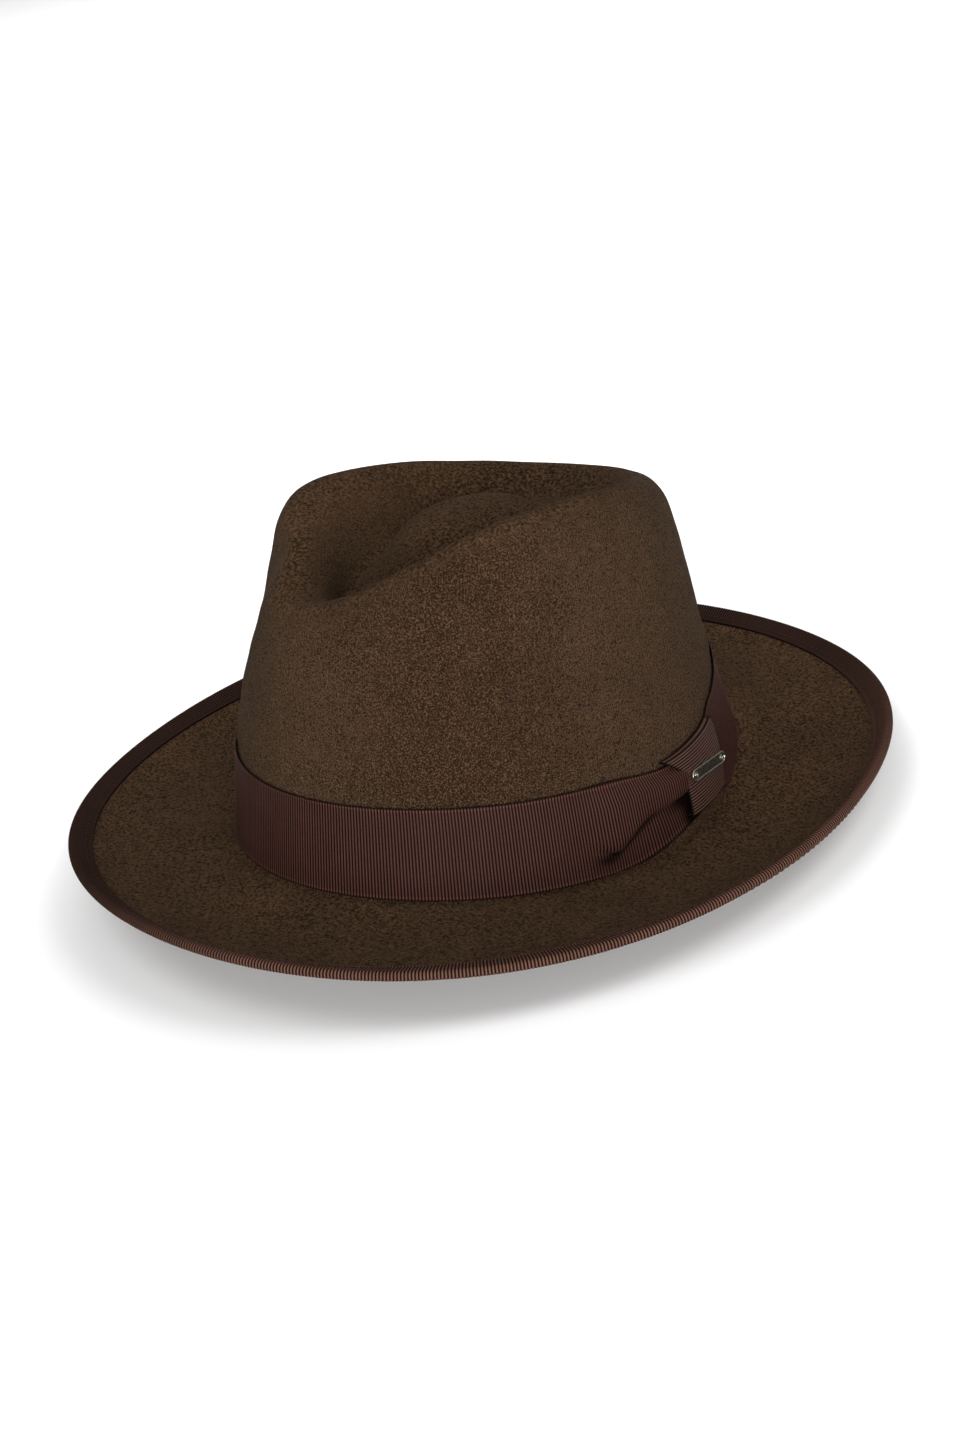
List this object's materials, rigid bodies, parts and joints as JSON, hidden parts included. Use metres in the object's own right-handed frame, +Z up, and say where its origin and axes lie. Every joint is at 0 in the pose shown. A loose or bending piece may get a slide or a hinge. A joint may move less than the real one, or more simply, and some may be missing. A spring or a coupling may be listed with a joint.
{
  "type": "felt fedora hat",
  "caption": "Felt fedora with a teardrop crown, bound and curled brim, grosgrain band gathered into a side knot with a plain metal plate, sweatband and satin lining.",
  "frame": {"origin": "centre of the head opening, in the plane where the crown meets the brim", "axes": "+Z up through the crown, -Y to the front of the hat, +X to the wearer's left, where the knot is"},
  "size_m": [0.3128, 0.3356, 0.14],
  "materials": {
    "felt": "dark brown wool felt, fine nap",
    "ribbon": "dark brown ribbed grosgrain",
    "thread": "dark brown sewing thread",
    "pewter": "dark aged metal with bright edges",
    "leather": "brown roan leather, fine grain",
    "reed": "matt round reed",
    "satin": "bronze brown satin lining"
  },
  "bodies": {
    "root": {"felt_body": "felt", "brim_binding": "ribbon", "binding_stitch_top": "thread", "binding_stitch_under": "thread", "hat_band": "ribbon", "band_pleat_upper": "ribbon", "band_pleat_lower": "ribbon", "bow_knot": "ribbon", "name_plate": "pewter", "plate_pin_front": "pewter", "plate_pin_rear": "pewter", "band_tack_front": "thread", "band_tack_right": "thread", "band_tack_back": "thread", "sweatband": "leather", "sweatband_reed": "reed", "sweatband_stitching": "thread", "sweatband_seam": "thread", "sweatband_bow": "ribbon", "size_label": "satin", "lining_side": "satin", "lining_tip": "satin", "lining_piping": "satin"}
  },
  "joints": []
}
